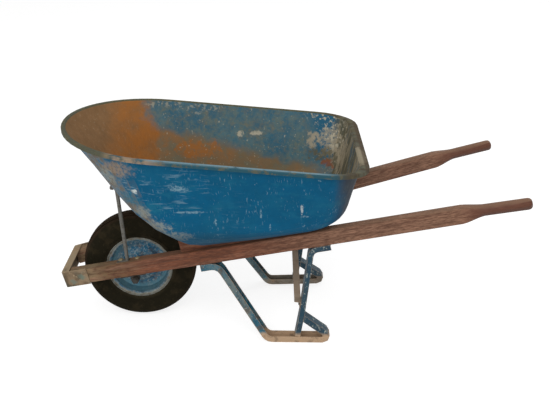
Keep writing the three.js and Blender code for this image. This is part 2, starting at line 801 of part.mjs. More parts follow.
function noseSolid() {
  const path = roundedPath([
    [noseCheek, -noseInner(noseCheek)],
    [noseFront, -noseInner(noseFront), noseBend],
    [noseFront, noseInner(noseFront), noseBend],
    [noseCheek, noseInner(noseCheek)],
  ]);
  const outside = offsetPath(path, noseSheet);
  const walls = upwards(bandShape(path, 0, noseSheet), -noseBelow, noseTop + noseSheet);
  const lid = upwards(new THREE.Shape(outside), noseTop, noseTop + noseSheet);
  const behind = boxSolid(noseFront - noseSheet + noseFlange, noseCheek * 2, -rimHalfWidth, rimHalfWidth,
    noseTop - noseSheet, noseTop + noseSheet * 2);
  return walls.add(lid.subtract(behind));
}

// Struts: a round stem with a flat tab on the handle and another under the tray

function strutSolids(word, side) {
  const frame = handleFrames[word];
  const footSideways = side * handleSide(strutFoot);
  const foot = new THREE.Vector3(strutFoot, footSideways, handleCentre(strutFoot) + handleTop);
  const local = frame.worldToLocal(foot.clone());
  const tabStart = local.x - strutTabLength + strutRadius;
  const tabBottom = handleTop + seatGap;
  const footTab = boxSolid(tabStart, local.x + strutRadius, -strutTabWidth / 2, strutTabWidth / 2,
    tabBottom, tabBottom + strutTab);
  // The head lies flat under the tray, where the stem's line meets it.
  const rise = new THREE.Vector3(strutLean, 0, strutRise).normalize();
  const { point, normal } = meetTray(foot, rise);
  const headFrame = addFrame(barrow, point.toArray());
  const inward = normal.clone().negate();
  const upslope = new THREE.Vector3(-normal.z, 0, normal.x);
  if (inward.x > 0) upslope.negate();
  const across = inward.clone().cross(upslope).normalize();
  const along = across.clone().cross(inward).normalize();
  headFrame.quaternion.setFromRotationMatrix(new THREE.Matrix4().makeBasis(along, across, inward));
  headFrame.updateWorldMatrix(true, false);
  const headTab = boxSolid(-strutRadius * 2, strutTabLength - strutRadius * 2,
    -strutTabWidth / 2, strutTabWidth / 2, -seatGap - strutTab, -seatGap);
  const above = boxSolid(-200, 200, -200, 200, -seatGap - strutTab / 2, 200);
  const below = boxSolid(-200, 200, -200, 200, -200, tabBottom + strutTab / 2);
  const stemLength = foot.distanceTo(point) + strutRadius * 2;
  const stemFrame = addFrame(barrow, foot.toArray());
  stemFrame.quaternion.setFromUnitVectors(new THREE.Vector3(0, 0, 1), rise);
  stemFrame.updateWorldMatrix(true, false);
  const stem = carry(rod(strutRadius, -strutRadius, stemLength, 12), stemFrame, barrow)
    .subtract(carry(above, headFrame, barrow)).subtract(carry(below, frame, barrow));
  const blank = stem.add(carry(headTab, headFrame, barrow)).add(carry(footTab, frame, barrow));
  return { blank, headFrame, tabTop: tabBottom + strutTab };
}

// Assembly

addWheel();
addAxle();

let tray = trayBlank;
let nose = noseSolid();

sides.forEach(([word, side]) => {
  const frame = handleFrames[word];
  const handleHoles = [];
  const barrowHoles = [];

  // Wedge, trimmed to the tray that rests on it
  const inner = -side * (handleWidth / 2);
  const wedgeSides = [inner, inner + side * wedgeWidth].sort((a, b) => a - b);
  const block = boxSolid(wedgeFront, wedgeFront + wedgeLength, wedgeSides[0], wedgeSides[1],
    handleTop + seatGap, handleTop + wedgeStock);
  let wedge = block.subtract(carry(trayHull.translate([0, 0, -seatGap]), barrow, frame));

  // Bolts through tray, wedge, handle and leg
  const boltSide = side * trayBoltSide;
  const trayBolts = [['front', trayBoltFront, legDepth - channelWall], ['rear', trayBoltRear, 0]];
  trayBolts.forEach(([end, along, gapToWeb]) => {
    const headSeat = trayTopUnder(frame, along, boltSide) + seatGap;
    const nutSeat = -handleTop - seatGap - gapToWeb - channelWall - 2 * seatGap;
    const hole = addHandleBolt(`tray_bolt_${end}_${word}`, frame, along, boltSide, headSeat, nutSeat);
    handleHoles.push(hole);
    barrowHoles.push(carry(hole, frame, barrow));
  });
  wedge = wedge.subtract(handleHoles[0]).subtract(handleHoles[1]);
  addPiece(`wedge_${word}`, wedge, wood, frame);
  barrowHoles.forEach((hole) => {
    tray = tray.subtract(hole);
  });

  // Strut, on the front bolt of the axle bracket
  const strut = strutSolids(word, side);
  let strutSolid = strut.blank;

  // Bracket and its two bolts
  let bracket = bracketSolid(frame, side);
  const bracketUnder = -handleTop - seatGap - bracketPlate;
  const bracketBolts = [['front', bracketBoltFront, strut.tabTop], ['rear', bracketBoltRear, handleTop]];
  bracketBolts.forEach(([end, along, seat]) => {
    const name = `bracket_bolt_${end}_${word}`;
    const hole = addHandleBolt(name, frame, along, side * bracketBoltSide, seat + seatGap, bracketUnder);
    handleHoles.push(hole);
    bracket = bracket.subtract(hole);
    strutSolid = strutSolid.subtract(carry(hole, frame, barrow));
  });
  const axleRoom = rod(axleRadius + slotGap, -axleHalfLength, axleHalfLength, ringSteps);
  bracket = bracket.subtract(carry(axleRoom, wheelFrame, frame));
  addPiece(`axle_bracket_${word}`, bracket, bareSteel, frame);

  // Bolt through the strut's head and the tray
  const headPlace = strutTabLength - strutRadius * 4;
  const headThickness = strutTab + traySheet + 2 * seatGap;
  const headBolt = boltSolid(headThickness + curveRoom + nutHeight + boltEnd + seatGap);
  const headSeat = traySheet + seatGap + curveRoom;
  addPiece(`strut_bolt_${word}`, headBolt, greySteel, strut.headFrame, [headPlace, 0, headSeat]);
  const headNut = nutSolid(nutRadius, boltRadius + holeGap, 0, nutHeight);
  const headNutSeat = -2 * seatGap - strutTab - nutHeight;
  addPiece(`strut_nut_${word}`, headNut, greySteel, strut.headFrame, [headPlace, 0, headNutSeat]);
  const headHole = rod(boltRadius + holeGap, -strutTab * 4, traySheet * 4).translate([headPlace, 0, 0]);
  tray = tray.subtract(carry(headHole, strut.headFrame, barrow));
  strutSolid = strutSolid.subtract(carry(headHole, strut.headFrame, barrow));
  addPiece(`tray_strut_${word}`, strutSolid, greySteel, barrow);

  // Screw through the nose guard's cheek into the handle
  const screwSeat = handleWidth / 2 + noseSideGap * 2 + noseSheet;
  const screwPlace = [handleStart + noseScrewPlace, side * screwSeat, 0];
  const screwFrame = addFrame(frame, screwPlace, [side < 0 ? Math.PI / 2 : -Math.PI / 2, 0, 0]);
  addPiece(`nose_screw_${word}`, boltSolid(screwLength), greySteel, screwFrame);
  const screwHole = rod(boltRadius + holeGap, -screwLength - seatGap, 0);
  nose = nose.subtract(carry(screwHole, screwFrame, noseFrame));
  handleHoles.push(carry(screwHole, screwFrame, frame));

  // Handle with all its holes
  const handle = handleHoles.reduce((left, hole) => left.subtract(hole), handleSolid());
  addPiece(`handle_${word}`, handle, wood, frame);

  // Leg and post
  let leg = leaned(channelSolid(legPath, legDepth).subtract(postRoom), side);
  let post = leaned(channelSolid(postPath, postDepth), side);
  leg = leg.subtract(barrowHoles[0]);
  post = post.subtract(barrowHoles[1]);
  const boltThickness = braceWall + channelWall + 3 * seatGap;
  const braceBolt = boltSolid(boltThickness + nutHeight + boltEnd);
  const bracePoint = [-braceWall - 2 * seatGap, side * braceBoltSide, -braceDrop];
  addPiece(`brace_bolt_${word}`, braceBolt, greySteel, braceFrame, bracePoint, [0, -Math.PI / 2, 0]);
  const braceNut = nutSolid(nutRadius, boltRadius + holeGap, 0, nutHeight);
  const nutPoint = [channelWall + 2 * seatGap, side * braceBoltSide, -braceDrop];
  addPiece(`brace_nut_${word}`, braceNut, greySteel, braceFrame, nutPoint, [0, Math.PI / 2, 0]);
  const braceHole = acrossBrace(rod(boltRadius + holeGap, -postDepth, postDepth), side * braceBoltSide);
  post = post.subtract(carry(braceHole, braceFrame, barrow));
  addPiece(`leg_${word}`, leg, legPaint, barrow);
  addPiece(`leg_post_${word}`, post, legPaint, barrow);
});

const braceEnd = braceBoltSide + braceReach;
let brace = sideways(bandShape(bracePath, 0, -braceWall), -braceEnd, braceEnd);
sides.forEach(([, side]) => {
  brace = brace.subtract(acrossBrace(rod(boltRadius + holeGap, -postDepth, postDepth), side * braceBoltSide));
});
addPiece('cross_brace', brace, bareSteel, braceFrame);
addPiece('nose_guard', nose, bareSteel, noseFrame);
addPiece('tray', tray, trayPaint, barrow);

// The origin goes to the middle of the footprint, on the ground.
const footprint = new THREE.Box3().setFromObject(barrow, true);
const middle = footprint.getCenter(new THREE.Vector3());
barrow.position.set(-middle.x, -middle.y, -footprint.min.z);

export default barrow;
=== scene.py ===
import math

import bpy
from mathutils import Matrix, Vector


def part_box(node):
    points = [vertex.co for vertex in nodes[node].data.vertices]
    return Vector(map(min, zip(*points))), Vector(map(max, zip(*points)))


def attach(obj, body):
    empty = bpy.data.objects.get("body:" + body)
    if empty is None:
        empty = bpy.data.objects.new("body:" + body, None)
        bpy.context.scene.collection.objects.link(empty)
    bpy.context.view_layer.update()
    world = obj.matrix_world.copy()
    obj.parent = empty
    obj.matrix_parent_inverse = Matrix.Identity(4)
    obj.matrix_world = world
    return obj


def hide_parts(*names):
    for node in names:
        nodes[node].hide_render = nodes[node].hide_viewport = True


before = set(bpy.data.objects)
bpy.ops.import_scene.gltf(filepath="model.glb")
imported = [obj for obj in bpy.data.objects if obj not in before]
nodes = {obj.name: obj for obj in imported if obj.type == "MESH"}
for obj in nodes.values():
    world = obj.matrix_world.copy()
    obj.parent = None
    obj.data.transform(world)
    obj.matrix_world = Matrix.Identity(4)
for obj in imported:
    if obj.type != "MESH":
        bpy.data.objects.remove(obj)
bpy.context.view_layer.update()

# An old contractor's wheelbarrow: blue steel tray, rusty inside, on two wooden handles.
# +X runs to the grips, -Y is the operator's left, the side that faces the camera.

scene = bpy.context.scene
scene.view_settings.view_transform = "Standard"


def middle(name):
    low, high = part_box(name)
    return (Vector(low) + Vector(high)) / 2


axleCentre = middle("axle")
mm = 0.001


def place(x, y, z):  # millimetres from the wheel's axle, x backwards, z from the ground
    return (axleCentre.x + x * mm, y * mm, z * mm)


# Camera

view = {
    "place": place(477.1, -2550.3, 1541.2),
    "pitch": 23.975,  # degrees below the horizon
    "yaw": 0.0936,
    "roll": -0.382,
    "lens": 53.41,  # millimetres, as the sensor
    "sensor": 36.0,
}

cameraData = bpy.data.cameras.new("camera")
cameraData.sensor_fit = "HORIZONTAL"
cameraData.sensor_width = view["sensor"]
cameraData.lens = view["lens"]
camera = bpy.data.objects.new("camera", cameraData)
scene.collection.objects.link(camera)
cameraTurn = (
    Matrix.Rotation(math.radians(view["yaw"]), 4, "Z")
    @ Matrix.Rotation(math.radians(90 - view["pitch"]), 4, "X")
    @ Matrix.Rotation(math.radians(view["roll"]), 4, "Z")
)
camera.matrix_world = Matrix.Translation(view["place"]) @ cameraTurn
scene.camera = camera
print("camera set")


# Node tools

def feed(tree, socket, value):  # links another socket to it, or sets a plain value
    if isinstance(value, bpy.types.NodeSocket):
        tree.links.new(value, socket)
    else:
        socket.default_value = value


def addNode(tree, kind, inputs, **settings):
    made = tree.nodes.new(kind)
    for key, value in settings.items():
        setattr(made, key, value)
    for key, value in inputs.items():
        feed(tree, made.inputs[key], value)
    return made


def mathNode(tree, operation, a, b=0.0):
    return addNode(tree, "ShaderNodeMath", {0: a, 1: b}, operation=operation).outputs[0]


def mixColour(tree, share, under, over, blend="MIX"):  # 6, 7 and 2 are the node's colour sockets
    made = addNode(
        tree, "ShaderNodeMix", {0: share, 6: under, 7: over}, data_type="RGBA", blend_type=blend)
    return made.outputs[2]


def colour(red, green, blue):  # a screen colour from 0 to 255, as the shader wants it
    linear = []
    for part in (red, green, blue):
        share = part / 255
        linear.append(share / 12.92 if share <= 0.04045 else ((share + 0.055) / 1.055) ** 2.4)
    return (*linear, 1.0)


def newGroup(name, vectors, numbers):  # every shared effect gives one mask
    group = bpy.data.node_groups.new(name, "ShaderNodeTree")
    for label in vectors:
        group.interface.new_socket(name=label, in_out="INPUT", socket_type="NodeSocketVector")
    for label in numbers:
        group.interface.new_socket(name=label, in_out="INPUT", socket_type="NodeSocketFloat")
    group.interface.new_socket(name="Mask", in_out="OUTPUT", socket_type="NodeSocketFloat")
    return group, group.nodes.new("NodeGroupInput"), group.nodes.new("NodeGroupOutput")


def useGroup(tree, group, inputs):
    return addNode(tree, "ShaderNodeGroup", inputs, node_tree=group).outputs[0]


# Effects that several finishes share

def makeSpots():  # irregular spots: noise above a threshold
    group, given, result = newGroup("spots", ("Vector",), ("Scale", "Threshold", "Softness"))
    noise = addNode(group, "ShaderNodeTexNoise", {
        "Vector": given.outputs["Vector"], "Scale": given.outputs["Scale"], "Detail": 5.0, "Roughness": 0.62})
    low = mathNode(group, "SUBTRACT", given.outputs["Threshold"], given.outputs["Softness"])
    high = mathNode(group, "ADD", given.outputs["Threshold"], given.outputs["Softness"])
    ramp = addNode(group, "ShaderNodeMapRange", {
        "Value": noise.outputs["Fac"], "From Min": low, "From Max": high}, interpolation_type="SMOOTHSTEP")
    group.links.new(ramp.outputs["Result"], result.inputs["Mask"])
    return group


def makePatch():  # one worn place: an ellipsoid with a ragged edge
    group, given, result = newGroup("patch", ("Vector", "Centre", "Size"), ("Scale", "Ragged", "Edge"))
    away = addNode(group, "ShaderNodeVectorMath", {
        0: given.outputs["Vector"], 1: given.outputs["Centre"]}, operation="SUBTRACT")
    share = addNode(group, "ShaderNodeVectorMath", {
        0: away.outputs[0], 1: given.outputs["Size"]}, operation="DIVIDE")
    reach = addNode(group, "ShaderNodeVectorMath", {0: share.outputs[0]}, operation="LENGTH")
    noise = addNode(group, "ShaderNodeTexNoise", {
        "Vector": given.outputs["Vector"], "Scale": given.outputs["Scale"], "Detail": 5.0, "Roughness": 0.65})
    centred = mathNode(group, "SUBTRACT", noise.outputs["Fac"], 0.5)
    ragged = mathNode(group, "MULTIPLY", centred, given.outputs["Ragged"])
    total = mathNode(group, "ADD", reach.outputs["Value"], ragged)
    outer = mathNode(group, "ADD", 1.0, given.outputs["Edge"])
    inner = mathNode(group, "SUBTRACT", 1.0, given.outputs["Edge"])
    ramp = addNode(group, "ShaderNodeMapRange", {
        "Value": total, "From Min": outer, "From Max": inner}, interpolation_type="SMOOTHSTEP")
    group.links.new(ramp.outputs["Result"], result.inputs["Mask"])
    return group


def makeEdges():  # worn edges: where a rounded normal differs from the true one
    group, given, result = newGroup("edges", ("Vector",), ("Radius", "Strength", "Scale"))
    bevel = addNode(group, "ShaderNodeBevel", {"Radius": given.outputs["Radius"]}, samples=4)
    geometry = group.nodes.new("ShaderNodeNewGeometry")
    dot = addNode(group, "ShaderNodeVectorMath", {
        0: bevel.outputs["Normal"], 1: geometry.outputs["Normal"]}, operation="DOT_PRODUCT")
    away = mathNode(group, "SUBTRACT", 1.0, dot.outputs["Value"])
    strong = mathNode(group, "MULTIPLY", away, given.outputs["Strength"])
    noise = addNode(group, "ShaderNodeTexNoise", {
        "Vector": given.outputs["Vector"], "Scale": given.outputs["Scale"], "Detail": 4.0})
    broken = mathNode(group, "MULTIPLY", strong, mathNode(group, "MULTIPLY", noise.outputs["Fac"], 2.0))
    ramp = addNode(group, "ShaderNodeMapRange", {
        "Value": broken, "From Min": 0.15, "From Max": 0.6}, interpolation_type="SMOOTHSTEP")
    group.links.new(ramp.outputs["Result"], result.inputs["Mask"])
    return group


spotsGroup = makeSpots()
patchGroup = makePatch()
edgesGroup = makeEdges()
print("shared effects made")


class Finish:  # one material, built up layer by layer over a base colour
    def __init__(self, name, base, roughness, metallic=0.0):
        self.material = bpy.data.materials.new(name)
        self.material.use_nodes = True
        self.tree = self.material.node_tree
        self.shader = self.tree.nodes["Principled BSDF"]
        self.vector = self.tree.nodes.new("ShaderNodeTexCoord").outputs["Object"]
        self.geometry = self.tree.nodes.new("ShaderNodeNewGeometry")
        self.colour = base
        self.roughness = roughness
        self.metallic = metallic
        self.height = None

    def stretched(self, scale, location=(0, 0, 0), rotation=(0, 0, 0), kind="POINT", vector=None):
        mapping = addNode(self.tree, "ShaderNodeMapping", {
            "Vector": vector or self.vector, "Scale": scale, "Location": location, "Rotation": rotation},
            vector_type=kind)
        return mapping.outputs[0]

    def spots(self, scale, threshold, softness, vector=None):
        return useGroup(self.tree, spotsGroup, {
            "Vector": vector or self.vector, "Scale": scale, "Threshold": threshold,
            "Softness": softness})

    def patch(self, centre, size, scale, ragged, edge=0.25):  # centre and size in millimetres
        return useGroup(self.tree, patchGroup, {
            "Vector": self.vector, "Centre": place(*centre), "Size": [side * mm for side in size],
            "Scale": scale, "Ragged": ragged, "Edge": edge})

    def edges(self, radius, strength, scale):
        return useGroup(self.tree, edgesGroup, {
            "Vector": self.vector, "Radius": radius, "Strength": strength, "Scale": scale})

    def both(self, *masks):
        total = masks[0]
        for mask in masks[1:]:
            total = mathNode(self.tree, "MULTIPLY", total, mask)
        return total

    def either(self, *masks):
        total = masks[0]
        for mask in masks[1:]:
            total = mathNode(self.tree, "MAXIMUM", total, mask)
        return total

    def outside(self, mask):
        return mathNode(self.tree, "SUBTRACT", 1.0, mask)

    def between(self, value, low, high):
        ramp = addNode(self.tree, "ShaderNodeMapRange", {
            "Value": value, "From Min": low, "From Max": high}, interpolation_type="SMOOTHSTEP")
        return ramp.outputs["Result"]

    def axis(self, name, source=None):
        split = addNode(self.tree, "ShaderNodeSeparateXYZ", {0: source or self.vector})
        return split.outputs[name]

    def facing(self, name):  # how far the surface faces along an axis, from -1 to 1
        return self.axis(name, self.geometry.outputs["Normal"])

    def layer(self, mask, over, share, roughness=None, depth=0.0):  # another colour where the mask is
        if share != 1.0:
            mask = mathNode(self.tree, "MULTIPLY", mask, share)
        self.colour = mixColour(self.tree, mask, self.colour, over)
        if roughness is not None:
            self.roughness = self.blend(mask, self.roughness, roughness)
        if depth:
            self.raiseBy(mask, depth)

    def blend(self, mask, under, over):
        made = addNode(self.tree, "ShaderNodeMix", {0: mask, 2: under, 3: over}, data_type="FLOAT")
        return made.outputs[0]

    def raiseBy(self, mask, amount):
        height = mathNode(self.tree, "MULTIPLY", mask, amount)
        self.height = height if self.height is None else mathNode(self.tree, "ADD", self.height, height)

    def cloud(self, scale, amount):  # soft noise round zero
        noise = addNode(self.tree, "ShaderNodeTexNoise", {
            "Vector": self.vector, "Scale": scale, "Detail": 5.0, "Roughness": 0.62})
        centred = mathNode(self.tree, "SUBTRACT", noise.outputs["Fac"], 0.5)
        return mathNode(self.tree, "MULTIPLY", centred, amount)

    def wander(self, value, scale, amount):  # makes a border wander to and fro
        return mathNode(self.tree, "ADD", value, self.cloud(scale, amount))

    def vary(self, scale, amount):  # light and dark clouds over everything so far
        noise = addNode(self.tree, "ShaderNodeTexNoise", {
            "Vector": self.vector, "Scale": scale, "Detail": 4.0, "Roughness": 0.6})
        ramp = addNode(self.tree, "ShaderNodeMapRange", {
            "Value": noise.outputs["Fac"], "From Min": 0.3, "From Max": 0.7,
            "To Min": 1 - amount, "To Max": 1 + amount})
        bright = addNode(self.tree, "ShaderNodeCombineColor", {
            0: ramp.outputs[0], 1: ramp.outputs[0], 2: ramp.outputs[0]})
        self.colour = mixColour(self.tree, 1.0, self.colour, bright.outputs[0], "MULTIPLY")

    def done(self, gloss=0.5, bump=0.0006):
        feed(self.tree, self.shader.inputs["Base Color"], self.colour)
        feed(self.tree, self.shader.inputs["Roughness"], self.roughness)
        self.shader.inputs["Metallic"].default_value = self.metallic
        self.shader.inputs["Specular IOR Level"].default_value = gloss
        if self.height is not None:
            made = addNode(self.tree, "ShaderNodeBump", {
                "Height": self.height, "Distance": bump, "Strength": 1.0})
            self.tree.links.new(made.outputs[0], self.shader.inputs["Normal"])
        return self.material


# Tray: blue outside, rust and dirt inside

trayLook = {
    "blue": colour(1, 80, 114),
    "haze": colour(28, 100, 124),
    "deep": colour(14, 58, 78),
    # pale blue-grey: scratches and scuffs outside, and the painted highlight on the near lip's crest
    "scuffAndHighlight": colour(122, 152, 164),
    "white": colour(196, 202, 198),
    "worn": colour(138, 142, 134),
    "tan": colour(148, 128, 108),
    "brown": colour(74, 60, 46),
    "edge": colour(106, 90, 72),
    "rust": colour(130, 99, 68),
    "orange": colour(166, 104, 46),
    "band": colour(118, 108, 86),
    "red": colour(136, 74, 44),
    "insideBlue": colour(78, 116, 128),
    "dusty": colour(106, 112, 98),
    "cleanBlue": colour(34, 92, 120),
    "peeled": colour(170, 158, 134),
    "chip": colour(188, 180, 158),
    "olive": colour(100, 92, 66),
    "lipBlue": colour(40, 78, 90),
    "lipFront": colour(84, 82, 64),
    "lipFar": colour(84, 82, 58),
    "lipRear": colour(76, 66, 50),
    "gloss": 0.08,
    # places in metres, along the tray from the axle backwards, or upwards from the ground
    "backEnd": (0.645, 0.705),
    # painted shade: heights where the tray's outside turns darker towards its bottom
    "shadedBelly": (0.440, 0.395),
    "orangeTo": (-0.125, -0.045),
    "rustTo": (0.035, 0.065),
    "paintFrom": (-0.005, 0.05),
    "paintLine": (0.590, 0.640),
    "corner": (0.56, 0.64),
    "rearWall": (0.5, 0.6),
    "rearLip": (0.69, 0.70),
    "rimHeight": 0.7023,  # above the axle
    "rimSlope": 0.093,  # the rim falls backwards
    "middle": (300, 0, 600),  # millimetres; a surface that looks at this point is the inside
}

# marks on both sides: where and how large in millimetres, how fine, which colour, how strong
outsideMarks = (
    ((2, -262, 650), (48, 60, 24), 34, "tan", 0.65),
    ((-40, -225, 612), (30, 50, 30), 34, "worn", 0.7),
    ((46, -268, 576), (9, 30, 8), 60, "white", 0.9),
    ((20, -255, 540), (40, 40, 26), 50, "haze", 0.7),
    ((182, -275, 592), (30, 30, 9), 60, "scuffAndHighlight", 0.75),
    ((212, -270, 506), (44, 30, 4), 40, "scuffAndHighlight", 0.7),
    ((100, -262, 520), (40, 40, 22), 60, "haze", 0.6),
    ((62, -225, 500), (30, 50, 26), 50, "worn", 0.75),
    ((112, -236, 450), (40, 40, 24), 50, "worn", 0.75),
    ((165, -243, 412), (44, 40, 18), 50, "worn", 0.7),
    ((290, -262, 470), (3, 40, 12), 60, "scuffAndHighlight", 0.8),
    ((430, -275, 500), (3, 40, 16), 60, "scuffAndHighlight", 0.8),
    ((458, -262, 446), (3, 40, 12), 60, "scuffAndHighlight", 0.8),
    ((556, -276, 512), (4, 40, 18), 60, "white", 0.6),
    ((566, -270, 486), (10, 40, 4), 60, "scuffAndHighlight", 0.8),
)

insideMarks = (
    ((612, 272, 546), (24, 40, 26), 50, "peeled", 0.8),
    ((676, 255, 540), (40, 40, 58), 45, "peeled", 0.7),
    ((650, 262, 500), (44, 40, 26), 45, "olive", 0.8),
    ((705, 165, 535), (34, 60, 60), 30, "peeled", 0.8),
    ((735, -160, 640), (30, 40, 60), 30, "peeled", 0.6),
    ((664, 230, 474), (22, 60, 14), 45, "red", 0.65),
    ((200, 262, 520), (80, 50, 26), 24, "orange", 0.7),
    ((346, 278, 574), (10, 40, 12), 60, "chip", 0.8),
    ((404, 278, 574), (19, 40, 7), 60, "chip", 0.8),
)

chippedPlaces = (  # groups of small chips inside, under the far rim: where, how large, how strong
    ((90, 284, 684), (80, 50, 14), 0.4),
    ((205, 292, 664), (80, 50, 20), 0.4),
    ((660, 272, 640), (70, 60, 34), 0.9),
    ((690, 240, 590), (60, 60, 60), 0.9),
)


def trayOutside(f, look, along):
    f.vary(5, 0.10)
    f.vary(34, 0.07)
    f.layer(f.spots(8, 0.58, 0.12), look["haze"], 0.22, 0.5)
    f.layer(f.spots(26, 0.60, 0.08, f.stretched((0.5, 1, 1))), look["haze"], 0.35, 0.5)
    forward = f.between(along, 0.45, 0.05)
    streaks = f.spots(150, 0.60, 0.05, f.stretched((0.12, 0.4, 1)))
    f.layer(f.both(streaks, forward, f.spots(9, 0.50, 0.08)), look["scuffAndHighlight"], 0.55, 0.6)
    drips = f.spots(190, 0.63, 0.05, f.stretched((1, 1, 0.12)))
    f.layer(f.both(drips, f.spots(12, 0.50, 0.10)), look["scuffAndHighlight"], 0.5, 0.6)
    f.layer(f.spots(70, 0.70, 0.025), look["scuffAndHighlight"], 0.6, 0.6)
    facing = f.facing("X")
    f.layer(f.both(f.between(facing, -0.28, -0.62), f.spots(30, 0.44, 0.12)), look["worn"], 0.6, 0.7)
    f.layer(f.both(f.between(facing, -0.25, -0.5), f.spots(30, 0.51, 0.07)), look["edge"], 0.75, 0.75)
    for where, size, scale, tone, share in outsideMarks:
        mark = f.patch(where, size, scale * 1.5, 2.4, 0.35)
        f.layer(f.both(mark, f.spots(110, 0.44, 0.10)), look[tone], share, 0.65)
    backEnd = f.between(f.wander(along, 20, 0.04), *look["backEnd"])
    f.layer(backEnd, look["brown"], 0.7, 0.7)
    # painted shade: the outside darkens towards the bottom, just above the handles
    f.layer(f.between(f.axis("Z"), *look["shadedBelly"]), look["deep"], 0.6)
    underside = f.between(f.facing("Z"), -0.70, -0.97)
    f.layer(f.both(underside, f.spots(14, 0.42, 0.14)), look["brown"], 0.8, 0.8)


def trayInside(f, look, along):
    f.vary(5, 0.14)
    f.vary(36, 0.10)
    f.layer(f.spots(110, 0.62, 0.06), look["peeled"], 0.22)
    # orange rust behind the front slope, ending rather sharply towards the back
    f.layer(f.both(f.between(f.wander(along, 9, 0.10), *look["orangeTo"]),
                   f.between(f.cloud(14, 1.0), -0.35, 0.15)), look["orange"], 0.8)
    backward = f.between(f.wander(along, 16, 0.09), *look["rustTo"])
    f.layer(backward, look["band"], 0.85)
    f.layer(f.both(backward, f.spots(9, 0.52, 0.1)), look["orange"], 0.3)
    f.layer(f.both(backward, f.spots(26, 0.55, 0.06)), look["dusty"], 0.5)
    # paint left on the upper walls
    level = mathNode(f.tree, "ADD", f.axis("Z"), mathNode(f.tree, "MULTIPLY", along, 0.26))
    line = f.wander(level, 11, 0.10)
    painted = f.both(f.between(line, *look["paintLine"]),
                     f.between(f.wander(along, 13, 0.14), *look["paintFrom"]))
    f.layer(painted, look["insideBlue"], 0.92, 0.7)
    f.layer(f.both(painted, f.spots(7, 0.50, 0.12)), look["dusty"], 0.5)
    f.layer(f.both(painted, f.spots(12, 0.54, 0.08)), look["cleanBlue"], 0.55)
    f.layer(f.both(painted, f.spots(34, 0.58, 0.08)), look["band"], 0.4)
    f.layer(f.both(painted, f.spots(80, 0.53, 0.10)), look["cleanBlue"], 0.4)
    elsewhere = f.stretched((1, 1, 1), (0.3, 0, 0))
    f.layer(f.both(painted, f.spots(100, 0.56, 0.08, elsewhere)), look["dusty"], 0.5)
    corner = f.between(f.wander(along, 9, 0.10), *look["corner"])
    f.layer(f.both(corner, f.between(line, 0.62, 0.68)), look["cleanBlue"], 0.9, 0.6)
    rearWall = f.between(f.facing("X"), -0.45, -0.8)
    f.layer(f.both(rearWall, f.between(along, *look["rearWall"])), look["olive"], 0.9, 0.8)
    streaks = f.spots(46, 0.54, 0.08, f.stretched((1, 1, 0.10)))
    f.layer(f.both(rearWall, streaks), look["peeled"], 0.6)
    f.layer(f.both(rearWall, f.spots(30, 0.58, 0.06, f.stretched((1, 1, 0.2)))), look["cleanBlue"], 0.5)
    for where, size, scale, tone, share in insideMarks:
        mark = f.patch(where, size, scale * 1.4, 3.4, 0.3)
        f.layer(f.both(mark, f.spots(80, 0.42, 0.10)), look[tone], share, 0.8)
    for where, size, share in chippedPlaces:
        near = f.patch(where, size, 20, 0.8, 0.3)
        f.layer(f.both(near, f.spots(75, 0.56, 0.03)), look["chip"], share, 0.7)
    f.layer(f.both(backward, f.spots(110, 0.655, 0.02)), look["chip"], 0.55)


def trayLip(f, look, along, inside):
    fall = mathNode(f.tree, "MULTIPLY", along, look["rimSlope"])
    top = mathNode(f.tree, "ADD", f.axis("Z"), fall)  # height as if the rim were level
    rolled = f.between(top, look["rimHeight"] - 0.0165, look["rimHeight"] - 0.0145)
    crest = f.between(top, look["rimHeight"] - 0.0035, look["rimHeight"] - 0.0015)
    upward = f.between(f.facing("Z"), 0.25, 0.45)
    nearRim = f.between(top, look["rimHeight"] - 0.045, look["rimHeight"] - 0.035)
    rearTop = f.both(upward, nearRim, f.between(along, *look["rearLip"]))
    lip = f.either(f.both(rolled, f.outside(inside)), crest, rearTop)
    side = f.axis("Y")
    f.layer(lip, look["lipBlue"], 1.0, 0.5)
    f.layer(f.both(lip, f.between(side, 0.10, 0.20)), look["lipFar"], 0.9, 0.7)
    front = f.between(f.wander(along, 14, 0.06), 0.02, -0.03)
    f.layer(f.both(lip, front), look["lipFront"], 0.9, 0.7)
    f.layer(f.both(lip, f.between(along, 0.64, 0.70)), look["lipRear"], 0.92, 0.7)
    f.layer(f.both(lip, f.spots(40, 0.55, 0.06)), look["olive"], 0.6, 0.7)
    f.layer(f.both(lip, f.between(side, 0, -0.1), f.between(along, 0.17, 0.08), f.between(along, -0.05, 0.0),
                   f.spots(22, 0.42, 0.08)), look["tan"], 0.85, 0.7)
    # painted highlight: the upward-facing crest of the near lip is lightened along most of its length
    bright = f.both(lip, f.between(f.facing("Z"), 0.45, 0.85),
                    f.between(side, 0, -0.2), f.between(along, 0.68, 0.60), f.between(along, 0.06, 0.12),
                    f.spots(26, 0.38, 0.10))
    f.layer(bright, look["scuffAndHighlight"], 0.8, 0.6)
    rearLip = f.both(lip, f.between(along, 0.69, 0.72))
    f.layer(f.both(rearLip, f.spots(50, 0.50, 0.08, f.stretched((0.3, 1, 1)))), look["dusty"], 0.4)
    f.layer(f.both(rearLip, f.patch((744, -120, 632), (18, 80, 22), 40, 1.6)), look["peeled"], 0.6, 0.7)
    f.layer(f.both(lip, f.between(along, 0.748, 0.754)), look["brown"], 0.7)


